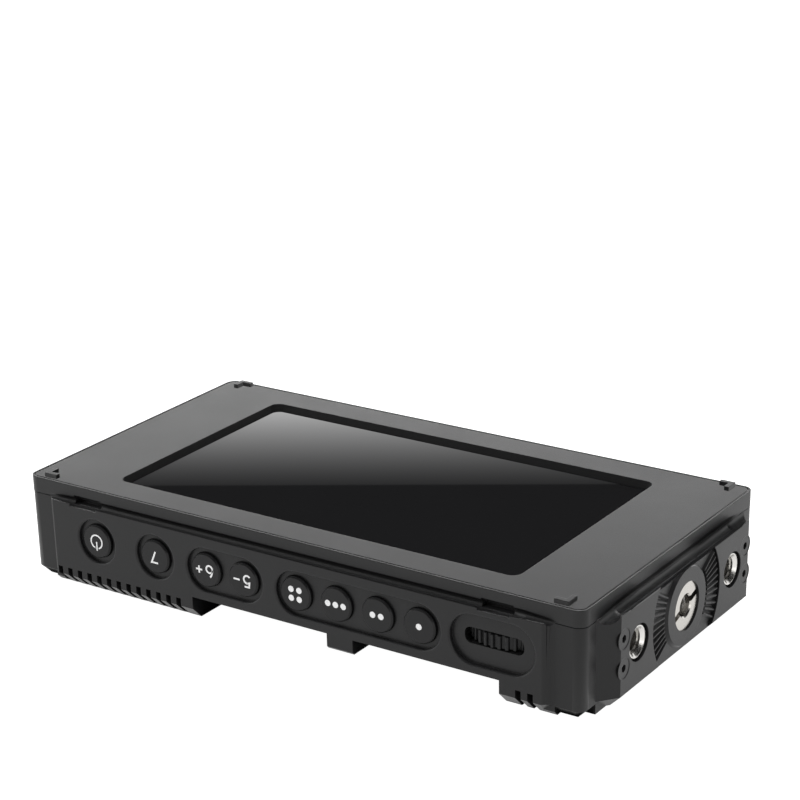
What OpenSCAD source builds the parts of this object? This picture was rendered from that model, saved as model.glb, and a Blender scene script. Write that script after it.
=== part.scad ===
// Camera field monitor lying on its back, screen up. Millimetres.
// Origin: centre of the rear face. +X right edge, +Y button edge, +Z out of the screen.

/* [Node] */
// Piece to show, or all of them

/* [Plate] */
// Width of the front plate
plate_w = 153; // [130:0.5:180]
// Height of the front plate
plate_d = 80.5; // [70:0.1:95]
// Plan corner radius of the front plate
plate_r = 2.6; // [1:0.1:5]
// Full band height of the plate at its corners
band_h = 3.9; // [3:0.1:6]
// Visible band height along the middle of each side
band_mid_h = 2.7; // [1.5:0.1:3.5]
// Rim beside the screen opening
rim_x = 21.15; // [16:0.05:28]
// Rim above and below the screen opening
rim_y = 8.65; // [6:0.05:14]
// Corner radius of the screen opening
open_r = 2.5; // [0.5:0.1:5]
// Shift of the opening toward the button edge
open_dy = 0.25; // [-2:0.05:2]
// Distance of the fine top groove from the plate edge
groove_in = 0.4; // [0.2:0.05:1]
// Width of the fine top groove
groove_w = 0.4; // [0.1:0.05:0.6]
// Depth of the fine top groove
groove_t = 0.35; // [0.1:0.05:0.6]

/* [Screen stack] */
// Depth of the cover glass below the plate top
glass_sink = 2.1; // [0.5:0.1:3]
// Gap round the cover glass
glass_gap = 0.3; // [0.1:0.05:0.6]
// Panel border hidden beside the opening
panel_lap_x = 3.65; // [1.5:0.05:4]
// Panel border hidden above and below
panel_lap_y = 2.4; // [1:0.05:3]
// Thickness of the display panel
panel_t = 1.4; // [0.8:0.1:2]
// Thickness of the backlight frame
light_t = 1.85; // [1:0.05:3]
// Border width of the backlight frame
light_rim = 4; // [2:0.5:8]
// Thickness of the main board
board_t = 1.4; // [0.8:0.1:2]
// Gap between the board and the side walls
board_in = 7.5; // [6:0.1:14]
// Gap between the board and a pressed button
board_gap = 0.25; // [0.1:0.05:1]

/* [Lugs and clip pockets] */
// Lug distance from the side of the plate
lug_in_x = 4.3; // [2:0.1:10]
// Lug distance from the long edge of the plate
lug_in_y = 1.3; // [0.8:0.1:5]
// Lug arm length
lug_len = 3.6; // [2:0.1:6]
// Lug arm width
lug_w = 1.2; // [0.6:0.1:2]
// Lug height
lug_h = 1.0; // [0.5:0.1:2]
// Clip pocket from the middle
clip_x = 56.9; // [40:0.1:62]
// Clip pocket width
clip_w = 8.0; // [5:0.1:12]
// Shift of the button side pockets toward the right end
clip_dx = 1.3; // [0:0.1:2]
// Clip pocket depth from the plate edge
clip_t = 2.2; // [1.2:0.1:2.4]

/* [Housing] */
// Reach of the side faces beyond the plate
out_x = 3.5; // [2:0.05:8]
// Reach of the long faces beyond the plate
out_y = 1.81; // [1:0.01:4]
// Step from the band down to the corner pillars
pil_in = 0.05; // [0:0.01:0.3]
// Height of the seam under the band corners
seam_h = 0.2; // [0.1:0.05:0.4]
// Depth of the seam
seam_t = 0.3; // [0.1:0.05:0.5]
// End of the flat long face from the side of the plate
flat_in_x = 9.0; // [7:0.1:14]
// End of the flat side face from the long edge
flat_in_y = 9.85; // [7:0.05:14]
// Length of the soft step of the long faces
step_x = 2.2; // [1.5:0.1:5]
// Length of the straight ramp of the side faces
step_y = 4.4; // [2:0.1:6]
// Height of the housing
case_h = 22; // [18:0.1:28]
// Bottom chamfer
chamf = 3; // [1:0.1:4]
// Plate edge to cavity at the sides
wall_x = 3.0; // [2.5:0.1:6]
// Plate edge to cavity at the long edges
wall_y = 3.25; // [2.8:0.05:6]
// Cavity corner radius
cav_r = 2; // [1:0.1:4]
// Floor thickness beside the battery bays
floor_t = 2.4; // [1.5:0.1:4]

/* [Battery bays] */
// Left end of the bays
bay_x0 = -57; // [-62:0.1:-50]
// Right end of the bays
bay_x1 = 26.2; // [20:0.1:34]
// Left side of the centre rail
rail_x0 = -19; // [-24:0.1:-14]
// Width of the centre rail
rail_w = 7; // [4:0.1:10]
// Bay ceiling below the parting plane
bay_drop = 15.85; // [14:0.05:18]
// Rail bottom above the rear face
rail_z = 2.4; // [0:0.1:4]
// Closed end of the bays
bay_y0 = -28.5; // [-30:0.5:-20]
// Wall between bay and cavity
bay_wall = 2; // [1.2:0.1:3]
// Catch rib width
rib_t = 1.0; // [0.5:0.1:1.5]
// Catch rib length
rib_l = 7; // [4:0.5:10]
// Contact block width
cont_w = 20; // [14:0.5:26]
// Contact block depth
cont_d = 3.6; // [2:0.1:6]
// Blade thickness
blade_t = 0.7; // [0.4:0.1:1.2]
// Blade reach beyond its block
blade_l = 3.4; // [2:0.1:5]
// Pitch of the contact blades
blade_p = 5.2; // [3:0.1:7]
// Latch width
latch_w = 9; // [6:0.5:12]
// Latch depth
latch_d = 5; // [3:0.5:8]
// Reach of the latch below the bay ceiling
latch_out = 1.4; // [0.8:0.1:1.6]
// Latch middle from the cavity wall
latch_in = 9; // [7:0.1:20]

/* [Buttons] */
// Button row below the parting plane
btn_drop = 8.2; // [7:0.1:10]
// Button cap radius
btn_r = 4.15; // [3:0.05:4.6]
// Single well radius
well_r = 5.45; // [4.8:0.05:6]
// Well depth
well_t = 1.0; // [0.4:0.1:1.6]
// Soft rim radius of wells
rim_r = 0.5; // [0.1:0.05:0.8]
// Power button from the middle
power_x = 54.5; // [48:0.1:58]
// Function button from the middle
func_x = 36.8; // [34:0.1:42]
// Plus button from the middle
plus_x = 21.8; // [18:0.1:24]
// Minus button from the middle
minus_x = 11.0; // [8:0.1:13]
// First dotted button from the middle
dots_x = -3.7; // [-6:0.1:-2]
// Pitch of the dotted buttons
dots_p = 11.03; // [10.5:0.01:12]
// Radial gap between cap and hole
btn_gap = 0.1; // [0.05:0.01:0.3]
// Flange radius behind the wall
flange_r = 4.85; // [4.4:0.05:5.2]
// Flange thickness
flange_t = 1.0; // [0.6:0.1:1.4]
// Stem radius
stem_r = 1.2; // [0.8:0.1:1.6]
// Button travel
btn_go = 0.6; // [0.3:0.1:0.8]

/* [Thumb wheel] */
// Wheel centre from the middle
wheel_x = -55.2; // [-58:0.1:-52]
// Thumb wheel below the parting plane
wheel_drop = 7.5; // [7:0.1:9]
// Wheel radius
wheel_r = 11.5; // [9:0.1:12]
// Wheel thickness
wheel_t = 3; // [2:0.1:3.4]
// Number of ridges
wheel_n = 40; // [24:1:60]
// Ridge height
wheel_tooth = 0.6; // [0.2:0.05:1]
// Recess half length
wrec_l = 10.6; // [9:0.1:11]
// Recess half height
wrec_h = 5.9; // [4.5:0.1:6.2]
// Recess depth
wrec_t = 1.2; // [0.6:0.1:1.8]
// Rim height of the wheel over the recess floor
wheel_up = 0.4; // [0:0.1:1]
// Slot half length
wslot_l = 7.4; // [6:0.1:8.5]
// Slot half height
wslot_h = 1.9; // [1.7:0.05:2.3]
// Axle radius
axle_r = 1.0; // [0.6:0.1:1.5]
// Radial running gap on the axle
run_gap = 0.06; // [0.03:0.01:0.1]

/* [Threaded inserts] */
// Inserts below the parting plane
ins_drop = 9.6; // [8.5:0.1:11]
// Disc radius
ins_r = 5.7; // [5:0.1:6.5]
// Disc thickness
ins_t = 2.2; // [1.5:0.1:3]
// Depth of the disc below the face
ins_sink = 0.4; // [0:0.1:1]
// Body radius behind the disc
ins_body_r = 3.9; // [3.4:0.1:4.5]
// Whole insert length
ins_len = 9; // [7:0.5:10]
// Thread bore radius
ins_bore_r = 2.55; // [2:0.05:3]
// Thread bore depth
ins_bore_l = 8; // [5:0.5:8.5]
// Driver slot width
ins_slot_w = 1.5; // [0.8:0.1:2]
// Driver slot depth
ins_slot_t = 1.3; // [0.4:0.1:1.5]
// Driver slot angle
ins_slot_a = 18; // [-90:1:90]
// Radius of the round recess
rose_r = 16; // [12:0.1:18]
// Depth of the round recess
rose_t = 0.8; // [0.3:0.1:1.2]
// Radius of the raised ring
ring_r = 9.3; // [8:0.1:10]
// Inner end of the ridges
fan_r0 = 10.2; // [9.5:0.1:11]
// Outer end of the ridges
fan_r1 = 15.5; // [14:0.1:16]
// Ridge count on each side
fan_n = 11; // [7:2:15]
// Angle between ridges
fan_a = 6.2; // [4:0.1:8]
// Ridge height
fan_h = 0.6; // [0.2:0.1:0.8]

/* [Side hardware] */
// Locating bush from the end of the side face
bush_in = 8.05; // [6:0.05:11]
// Locating bushes below the parting plane
bush_drop = 9.25; // [8:0.05:11]
// Radius of the dark counterbore
bush_cb_r = 4.3; // [4:0.1:5]
// Bush outer radius
bush_r = 3.7; // [3:0.1:4]
// Bush bore radius
bush_bore = 2.3; // [1.5:0.1:2.8]
// Bush bore depth
bush_bore_l = 6.5; // [4:0.5:7]
// Depth of the step in the bush
bush_step = 1.4; // [0.8:0.1:2.5]
// Bush depth below the face
bush_sink = 0.5; // [0:0.1:1]
// Side screw from the end of the side face
sscr_in = 1.5; // [1.2:0.1:3.4]
// Upper side screw below the parting plane
sscr_d1 = 5.8; // [4:0.05:8]
// Lower side screw below the parting plane
sscr_d0 = 12.75; // [11:0.05:14]
// Side screw head radius
sscr_r = 2.4; // [1.8:0.1:2.8]
// Side screw shank radius
sscr_s = 1.2; // [0.8:0.1:1.5]

/* [Socket, grille and vents] */
// Socket centre
sock_x = -52; // [-54:0.1:-50]
// Socket shell width
sock_w = 15; // [14.5:0.1:15.5]
// Socket shell height
sock_h = 5.9; // [5.6:0.1:6.2]
// Socket shell wall
sock_t = 0.45; // [0.3:0.05:0.6]
// Socket shell length
sock_l = 11; // [9:0.5:12]
// Pocket centre
pock_x = -54; // [-56:0.1:-52]
// Pocket half length
pock_l = 11.4; // [9:0.1:12]
// Pocket half height
pock_h = 6; // [4:0.1:6.5]
// Pocket depth
pock_t = 1.5; // [0.8:0.1:2]
// Number of grille slots
gril_n = 10; // [6:1:12]
// First grille slot
gril_x0 = 33.3; // [30:0.1:36]
// Grille slot pitch
gril_p = 2.92; // [2.4:0.01:3.2]
// Grille slot half width
gril_w = 0.85; // [0.5:0.05:1]
// Grille slot half height
gril_h = 4.9; // [3:0.1:5]
// Grille middle below the parting plane
gril_drop = 10.2; // [10:0.1:12]
// Vent notch width
vent_w = 1.4; // [0.8:0.1:2]
// Vent notch pitch
vent_p = 3; // [2.4:0.01:3.4]
// Vent notch top above the rear face
vent_h = 4.9; // [3.5:0.1:6]

/* [Screws] */
// Case screw from the side of the plate
cscr_in_x = 6.1; // [5.6:0.1:8]
// Case screw from the long edge of the plate
cscr_in_y = 6.55; // [6:0.05:8]
// Case screw head radius
cscr_r = 1.9; // [1.5:0.1:2]
// Case screw shank radius
cscr_s = 1.0; // [0.8:0.1:1.2]
// Post radius
post_r = 2.6; // [2.2:0.1:2.8]

/* [Hidden] */
$fn = 64;
e = 0.02;
big = 200;
half_w = plate_w / 2;
half_d = plate_d / 2;
open_w = plate_w - 2 * rim_x;
open_d = plate_d - 2 * rim_y;
panel_w = open_w + 2 * panel_lap_x;
panel_d = open_d + 2 * panel_lap_y;
lug_x = half_w - lug_in_x;
lug_y = half_d - lug_in_y;
mid_x = half_w + out_x;
mid_y = half_d + out_y;
pil_x = half_w - pil_in;
pil_y = half_d - pil_in;
pil_c = min(chamf, plate_r - 0.1);
flat_x = half_w - flat_in_x;
flat_y = half_d - flat_in_y;
cav_x = half_w - wall_x;
cav_y = half_d - wall_y;
bay_h = case_h - bay_drop;
latch_y = cav_y - latch_in;
btn_z = case_h - btn_drop;
wheel_z = case_h - wheel_drop;
ins_z = case_h - ins_drop;
bush_z = case_h - bush_drop;
bush_y = flat_y - bush_in;
sscr_y = flat_y - sscr_in;
sscr_zs = [case_h - sscr_d0, case_h - sscr_d1];
gril_z = case_h - gril_drop;
cscr_x = half_w - cscr_in_x;
cscr_y = half_d - cscr_in_y;
// places along the long edges keep their share of the plate width
row_k = plate_w / 153;
top_z = case_h + band_h;
glass_z = top_z - glass_sink;
panel_z = case_h - panel_t;
light_z = panel_z - light_t;
board_z = light_z - board_t;
// cove circle through the lower band edge and the upper edge of the middle face
function cove_c(a, b, t) = [(a[0] + b[0]) / 2 + (b[1] - a[1]) * t / norm(b - a),
  (a[1] + b[1]) / 2 - (b[0] - a[0]) * t / norm(b - a)];
function cove_rad(a, b, t) = sqrt(pow(norm(b - a) / 2, 2) + t * t);
cy_a = [half_d, top_z - band_mid_h];
cy_b = [mid_y, case_h];
cx_a = [half_w, top_z - band_mid_h];
cx_b = [mid_x, case_h];
cove_ty = 0.5;
cove_tx = 0.4;
cy_c = cove_c(cy_a, cy_b, cove_ty);
cy_r = cove_rad(cy_a, cy_b, cove_ty);
cx_c = cove_c(cx_a, cx_b, cove_tx);
cx_r = cove_rad(cx_a, cx_b, cove_tx);
rail_x1 = rail_x0 + rail_w;
bay_c1 = (bay_x0 + rail_x0) / 2;
bay_c2 = (rail_x1 + bay_x1) / 2;
ceil_z = bay_h + bay_wall;
btn_xs = row_k * [power_x, func_x, plus_x, minus_x, dots_x, dots_x - dots_p, dots_x - 2 * dots_p,
  dots_x - 3 * dots_p];
wheel_at = row_k * wheel_x;
sock_at = row_k * sock_x;
flange_y = cav_y - 0.1;
board_w = 2 * (cav_x - board_in);
board_d = 2 * (flange_y - flange_t - btn_go - board_gap);
switch_y = flange_y - flange_t - btn_go - 0.3;
switch_t = 2;
bboard_y = switch_y - switch_t;
bboard_t = 1.2;
wheel_y = mid_y - wrec_t + wheel_up - wheel_r;
wheel_gap = 0.4;
boss_top = wheel_z - wheel_t / 2 - 0.2;
enc_z = wheel_z + wheel_t / 2 + 0.2;
sock_z = board_z - sock_h;
sock_y = -mid_y + pock_t;
sink_n = gril_n + 1;
rib_z = 2.6;
rib_h = 1.6;
stand_x = cav_x - 10.5;
stand_y = cav_y - 11;
stand = [[-stand_x, -stand_y], [-stand_x, 6], [stand_x + 1.2, -stand_y], [stand_x + 1.2, stand_y],
  [20, stand_y - 2], [-26, stand_y - 2]];
stand_r = 2.4;
stand_n = 4;
brk_t = 2;
brk_w = 26;
brk_z = 4;
sbrk_w = 13;
sbrk_z = 6;
hub_l = 5;
hub_t = 0.95;
shub_t = 1.6;
encoder_r = 4.5;
fit = 0.05;
tip_l = 4.6;
tongue_w = 10.8;
tongue_t = 1.5;
tongue_z = 2.35;
cont_h = 5.4;
blade_z = 4.6;
blade_h = 3;
fin_t = 0.9;
fin_z = 5;
fin_d = 12;
sink_t = 2;

// box with round plan corners, by its half sizes
module rbox(a, b, h, r) {
  translate([-a + r, -b, 0]) cube([2 * a - 2 * r, 2 * b, h]);
  translate([-a, -b + r, 0]) cube([2 * a, 2 * b - 2 * r, h]);
  for (i = [-1, 1], j = [-1, 1]) translate([i * (a - r), j * (b - r), 0]) cylinder(r = r, h = h);
}
// the same box with its lower edge cut at 45 degrees by c
module cbox(a, b, h, r, c) {
  translate([-a + r, 0, 0]) rotate([90, 0, 90]) linear_extrude(2 * a - 2 * r)
    polygon([[-b + c, 0], [b - c, 0], [b, c], [b, h], [-b, h], [-b, c]]);
  translate([0, b - r, 0]) rotate([90, 0, 0]) linear_extrude(2 * b - 2 * r)
    polygon([[-a + c, 0], [a - c, 0], [a, c], [a, h], [-a, h], [-a, c]]);
  for (i = [-1, 1], j = [-1, 1]) translate([i * (a - r), j * (b - r), 0]) {
    translate([0, 0, c]) cylinder(r = r, h = h - c);
    cylinder(r1 = r - c, r2 = r, h = c);
  }
}
// half space beyond a 45 degree plane through p at height z, facing angle a
module slant(p, z, a) {
  translate([p[0], p[1], z]) rotate([0, 0, a]) rotate([0, 45, 0]) translate([0, -big / 2, -40])
    cube([40, big, 80]);
}
// middle block of one pair of faces: flat half length f, reach m, pillar reach q,
// step length l drawn in n pieces
module mid_block(f, m, q, l, n) {
  right = [for (i = [0:n]) [f + l * i / n, q + (m - q) * (1 + cos(180 * i / n)) / 2]];
  left = [for (i = [n:-1:0]) [-right[i][0], right[i][1]]];
  difference() {
    linear_extrude(case_h) polygon(concat(left, right, [[f + l, -q]], [[-f - l, -q]]));
    slant([0, m], chamf, 90);
    for (i = [-1, 1]) slant([i * (f + l / 2), (m + q) / 2], chamf,
      90 - i * atan((m - q) / l));
  }
}
// well with a soft rim: half length l, half height h, depth t, cut down from z = 0
module well(l, h, t, r) {
  pts = concat([[0, 1]], [[h + r, 1]], [for (i = [0:5]) [h + r - r * sin(18 * i), -r + r * cos(18 * i)]],
    [[h, -t]], [[0, -t]]);
  for (i = [-1, 1]) translate([i * (l - h), 0, 0]) rotate_extrude() polygon(pts);
  if (l > h) rotate([90, 0, 90]) translate([0, 0, -(l - h)]) linear_extrude(2 * (l - h))
    polygon(concat(pts, [for (i = [len(pts) - 1:-1:0]) [-pts[i][0], pts[i][1]]]));
}
// pill of half length l, half height h
module pill(l, h, t) {
  for (i = [-1, 1]) translate([i * (l - h), 0, 0]) cylinder(r = h, h = t);
  translate([-(l - h), -h, 0]) cube([2 * (l - h), 2 * h, t]);
}
// put a piece drawn on z = 0 facing up onto one of the outer faces
module on_top_edge(x, z, y = mid_y) {
  translate([x, y, z]) rotate([-90, 0, 0]) children();
}
module on_bottom_edge(x, z, y = -mid_y) {
  translate([x, y, z]) rotate([90, 0, 0]) children();
}
module on_side(s, y, z, x = mid_x) {
  translate([s * x, y, z]) rotate([0, s * 90, 0]) children();
}
module coves() {
  taper = 14;
  x1 = flat_x - 5.8;
  y1 = flat_y - 4;
  for (s = [-1, 1]) {
    translate([0, s * cy_c[0], cy_c[1]]) rotate([0, 90, 0]) {
      translate([0, 0, -x1]) cylinder(r = cy_r, h = 2 * x1);
      for (m = [0, 1]) mirror([0, 0, m]) translate([0, 0, x1 - e])
        cylinder(r1 = cy_r, r2 = 0.4, h = taper);
    }
    translate([s * cx_c[0], 0, cx_c[1]]) rotate([90, 0, 0]) {
      translate([0, 0, -y1]) cylinder(r = cx_r, h = 2 * y1);
      for (m = [0, 1]) mirror([0, 0, m]) translate([0, 0, y1 - e])
        cylinder(r1 = cx_r, r2 = cx_r - 0.7, h = taper);
    }
  }
}
module clip_pockets() {
  for (i = [-1, 1], j = [-1, 1]) translate([row_k * i * clip_x + (j > 0 ? clip_dx : 0) - clip_w / 2,
    j > 0 ? half_d - clip_t : clip_t - half_d - 6, case_h - 0.7])
    cube([clip_w, 6, 0.7 + band_h - band_mid_h + 0.3]);
}
// fine seam under the four band corners
module seams() {
  for (i = [0, 1], j = [0, 1]) mirror([i, 0, 0]) mirror([0, j, 0]) intersection() {
    translate([0, 0, case_h - seam_h]) difference() {
      rbox(half_w + 1, half_d + 1, 1, plate_r);
      translate([0, 0, -1]) rbox(pil_x - seam_t, pil_y - seam_t, 3, plate_r - seam_t);
    }
    translate([flat_x + step_x, flat_y + step_y, 0]) cube([20, 20, 2 * case_h]);
  }
}
// ridged rose and threaded insert seat, drawn facing up on z = 0
module rose_cut() {
  difference() {
    translate([0, 0, -rose_t]) cylinder(r = rose_r, h = rose_t + 1, $fn = 96);
    translate([0, 0, -rose_t - 1]) cylinder(r = ring_r - 0.3, h = rose_t + 1);
    translate([0, 0, -rose_t - e]) cylinder(r1 = ring_r + 0.35, r2 = ring_r - 0.3, h = rose_t + e);
    for (s = [0, 180], i = [0:fan_n - 1]) rotate([0, 0, s + (i - (fan_n - 1) / 2) * fan_a])
      translate([fan_r0, 0, -rose_t - e]) rotate([90, 0, 90]) linear_extrude(fan_r1 - fan_r0)
        polygon([[-0.66, 0], [0.66, 0], [0.12, fan_h], [-0.12, fan_h]]);
  }
  translate([0, 0, -ins_sink - ins_t]) cylinder(r = ins_r + fit, h = 5);
  translate([0, 0, -big / 10]) cylinder(r = ins_body_r + fit, h = big / 10);
}
module insert_piece() {
  translate([0, 0, -ins_sink]) difference() {
    union() {
      translate([0, 0, -ins_t]) cylinder(r = ins_r, h = ins_t);
      translate([0, 0, -ins_len]) cylinder(r = ins_body_r, h = ins_len);
    }
    translate([0, 0, -ins_bore_l]) cylinder(r = ins_bore_r, h = ins_bore_l + 1);
    translate([0, 0, -0.35]) cylinder(r1 = ins_bore_r, r2 = ins_bore_r + 0.37, h = 0.37);
    rotate([0, 0, ins_slot_a]) translate([-big / 2, -ins_slot_w / 2, -ins_slot_t])
      cube([big, ins_slot_w, 2]);
  }
}
// pocket for one flat-headed screw and the screw itself, facing up on z = 0
module csk_cut(len) {
  translate([0, 0, -1.4]) cylinder(r1 = sscr_s + fit, r2 = sscr_r + 0.1, h = 1.25);
  translate([0, 0, -0.16]) cylinder(r = sscr_r + 0.1, h = 2);
  translate([0, 0, -len]) cylinder(r = sscr_s + fit, h = len);
}
module csk_screw(len) {
  difference() {
    union() {
      translate([0, 0, -1.35]) cylinder(r1 = sscr_s, r2 = sscr_r, h = 1.2);
      translate([0, 0, -0.15 - e]) cylinder(r = sscr_r, h = 0.05 + e);
      translate([0, 0, -len]) cylinder(r = sscr_s, h = len - 1.3);
    }
    translate([0, 0, -1.2]) cylinder(r = 0.95, h = 3, $fn = 6);
  }
}

module front_bezel() {
  color([0.41, 0.41, 0.42]) difference() {
    union() {
      translate([0, 0, case_h]) rbox(half_w, half_d, band_h, plate_r);
      for (i = [0, 1], j = [0, 1]) mirror([i, 0, 0]) mirror([0, j, 0]) translate([0, 0, top_z - e]) {
        translate([lug_x - lug_len, lug_y - lug_w, 0]) cube([lug_len, lug_w, lug_h + e]);
        translate([lug_x - lug_w, lug_y - lug_len, 0]) cube([lug_w, lug_len, lug_h + e]);
      }
    }
    translate([0, open_dy, case_h - 1]) rbox(open_w / 2, open_d / 2, band_h + 2, open_r);
    translate([0, 0, top_z - groove_t]) difference() {
      rbox(half_w - groove_in, half_d - groove_in, 1, plate_r - groove_in);
      translate([0, 0, -1]) rbox(half_w - groove_in - groove_w, half_d - groove_in - groove_w, 3,
        plate_r - groove_in - groove_w);
    }
    coves();
    clip_pockets();
    for (i = [-1, 1], j = [-1, 1]) translate([i * cscr_x, j * cscr_y, case_h - 1])
      cylinder(r = cscr_s + fit, h = 3.7);
  }
}
module screen_glass() {
  color([0.1, 0.1, 0.11]) translate([0, open_dy, case_h])
    rbox(open_w / 2 - glass_gap, open_d / 2 - glass_gap, glass_z - case_h, open_r - glass_gap);
}
module lcd_panel() {
  color([0.16, 0.17, 0.2]) translate([-panel_w / 2, open_dy - panel_d / 2, panel_z])
    cube([panel_w, panel_d, panel_t]);
}
module backlight_frame() {
  color([0.85, 0.85, 0.83]) difference() {
    translate([-panel_w / 2, open_dy - panel_d / 2, light_z]) cube([panel_w, panel_d, light_t]);
    translate([-panel_w / 2 + light_rim, open_dy - panel_d / 2 + light_rim, light_z - 1])
      cube([panel_w - 2 * light_rim, panel_d - 2 * light_rim, 1 + light_t - 0.5]);
  }
}
module main_board() {
  color([0.05, 0.3, 0.16]) difference() {
    union() {
      translate([-board_w / 2, -board_d / 2, board_z]) cube([board_w, board_d, board_t]);
      for (p = [[-8, 4, 14], [24, -6, 10], [46, 8, 8]]) translate([p[0], p[1], board_z - 1.2])
        cube([p[2], p[2], 1.2 + e]);
    }
    for (i = [0:stand_n - 1]) translate([stand[i][0], stand[i][1], board_z - 1])
      cylinder(r = 0.95, h = 4);
    translate([wheel_at, wheel_y, board_z - 1]) cylinder(r = axle_r + 0.3, h = 4);
  }
}
module board_screws() {
  color([0.7, 0.7, 0.72]) for (i = [0:stand_n - 1]) translate([stand[i][0], stand[i][1], 0])
    difference() {
      union() {
        translate([0, 0, board_z + board_t]) cylinder(r = 1.7, h = 1.3);
        translate([0, 0, board_z - 5]) cylinder(r = 0.9, h = 5 + board_t + e);
      }
      translate([0, 0, board_z + board_t + 0.6]) for (a = [0, 90]) rotate([0, 0, a])
        translate([-1.1, -0.2, 0]) cube([2.2, 0.4, 2]);
    }
}
module shell_outer() {
  cbox(pil_x, pil_y, case_h, plate_r, pil_c);
  for (j = [0, 1]) mirror([0, j, 0]) mid_block(flat_x, mid_y, pil_y, step_x, 8);
  for (j = [0, 1]) mirror([j, 0, 0]) rotate([0, 0, -90]) mid_block(flat_y, mid_x, pil_x, step_y, 1);
}
module shell_inner() {
  difference() {
    translate([0, 0, floor_t]) rbox(cav_x, cav_y, case_h, cav_r);
    translate([bay_x0 - bay_wall, bay_y0 - bay_wall, -1])
      cube([bay_x1 - bay_x0 + 2 * bay_wall, 100, ceil_z + 1]);
  }
}
module bays() {
  for (b = [[bay_x0, rail_x0], [rail_x1, bay_x1]]) translate([b[0], bay_y0, -1])
    cube([b[1] - b[0], 100, bay_h + 1]);
  translate([rail_x0 - 1, bay_y0, -1]) cube([rail_w + 2, 100, rail_z + 1]);
}
module ribs() {
  for (b = [[bay_x0, 0], [rail_x0, 180], [rail_x1, 0], [bay_x1, 180]], y = [-14, 8])
    translate([b[0], y, rib_z]) rotate([0, 0, b[1]]) translate([-e, -rib_l / 2, 0])
      cube([rib_t + e, rib_l, rib_h]);
}
module posts() {
  for (i = [-1, 1], j = [-1, 1]) translate([i * cscr_x, j * cscr_y, floor_t - 1])
    cylinder(r = post_r, h = case_h - floor_t + 1);
  for (i = [0:len(stand) - 1]) translate([stand[i][0], stand[i][1], i < stand_n ? 1.5 : ceil_z - 1])
    cylinder(r = stand_r, h = board_z - (i < stand_n ? 1.5 : ceil_z - 1));
  translate([wheel_at, wheel_y, ceil_z - 1]) cylinder(r = 2.5, h = boss_top - ceil_z + 1);
}
module vents() {
  v = vent_w / 2;
  for (x = [for (i = [0:12]) row_k * (66.7 - 3.025 * i)]) translate([x - v, cav_y - 0.5, -1])
    cube([vent_w, 10, vent_h + 1]);
  for (i = [0, 1]) translate([row_k * (-64.7 + vent_p * i) - v, cav_y - 0.5, -1])
    cube([vent_w, 10, vent_h + 1]);
  for (i = [0:14]) translate([row_k * (-65 + vent_p * i) - v, -cav_y + 0.5 - 10, -1])
    cube([vent_w, 10, vent_h + 1]);
  for (i = [0:2]) translate([row_k * (20.3 + vent_p * i) - v, -cav_y + 0.5 - 10, -1])
    cube([vent_w, 10, vent_h + 1]);
  for (i = [0:gril_n - 1]) on_bottom_edge(row_k * (gril_x0 + gril_p * i), gril_z) rotate([0, 0, 90])
    translate([0, 0, -8]) pill(gril_h, gril_w, 10);
}
module button_wells() {
  for (x = [btn_xs[0], btn_xs[1]]) on_top_edge(x, btn_z) well(well_r, well_r, well_t, rim_r);
  for (p = [[2, 3], [4, 7]]) on_top_edge((btn_xs[p[0]] + btn_xs[p[1]]) / 2, btn_z)
    well((btn_xs[p[0]] - btn_xs[p[1]]) / 2 + well_r - fit, well_r - fit, well_t, rim_r);
  for (x = btn_xs) on_top_edge(x, btn_z) translate([0, 0, -8]) cylinder(r = btn_r + btn_gap, h = 9);
}
module wheel_cuts() {
  on_top_edge(wheel_at, wheel_z - 0.5) well(wrec_l, wrec_h, wrec_t, rim_r);
  translate([wheel_at, cav_y - 0.5, wheel_z]) rotate([-90, 0, 0]) rbox(wslot_l, wslot_h, 8, 1.6);
  translate([wheel_at, wheel_y, wheel_z - wslot_h]) cylinder(r = wheel_r + wheel_gap, h = 2 * wslot_h);
}
module socket_cuts() {
  on_bottom_edge(row_k * pock_x, sock_z + sock_h / 2) translate([0, 0, -pock_t]) rbox(pock_l, pock_h, 4, 2);
  translate([sock_at, -cav_y + 1, 0]) rotate([90, 0, 0]) linear_extrude(8) socket_2d(fit);
}
module side_cuts() {
  for (s = [-1, 1]) {
    on_side(s, 0, ins_z) rotate([0, 0, 90]) rose_cut();
    for (j = [-1, 1]) {
      on_side(s, j * bush_y, bush_z) {
        translate([0, 0, -1.2]) cylinder(r = bush_cb_r, h = 3);
        translate([0, 0, -9]) cylinder(r = bush_r + fit, h = 9);
      }
      for (z = sscr_zs) on_side(s, j * sscr_y, z) csk_cut(9);
    }
  }
  on_bottom_edge(0, ins_z) rose_cut();
}
module rear_housing() {
  color([0.23, 0.23, 0.235]) difference() {
    union() {
      difference() {
        shell_outer();
        shell_inner();
        bays();
      }
      posts();
      ribs();
    }
    coves();
    clip_pockets();
    seams();
    vents();
    button_wells();
    wheel_cuts();
    socket_cuts();
    side_cuts();
    for (c = [bay_c1, bay_c2]) translate([c - latch_w / 2 - 0.1, latch_y - latch_d / 2 - 0.1, bay_h - 1])
      cube([latch_w + 0.2, latch_d + 0.2, bay_wall + 2]);
    for (i = [-1, 1], j = [-1, 1]) translate([i * cscr_x, j * cscr_y, 0]) {
      translate([0, 0, -1]) cylinder(r = cscr_r + 0.1, h = 3.1);
      cylinder(r = cscr_s + fit, h = case_h + 1);
    }
    for (i = [0:stand_n - 1]) translate([stand[i][0], stand[i][1], board_z - 5.5])
      cylinder(r = 0.95, h = 8);
    translate([wheel_at, wheel_y, boss_top - 3.5]) cylinder(r = axle_r, h = 8);
  }
}
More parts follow.
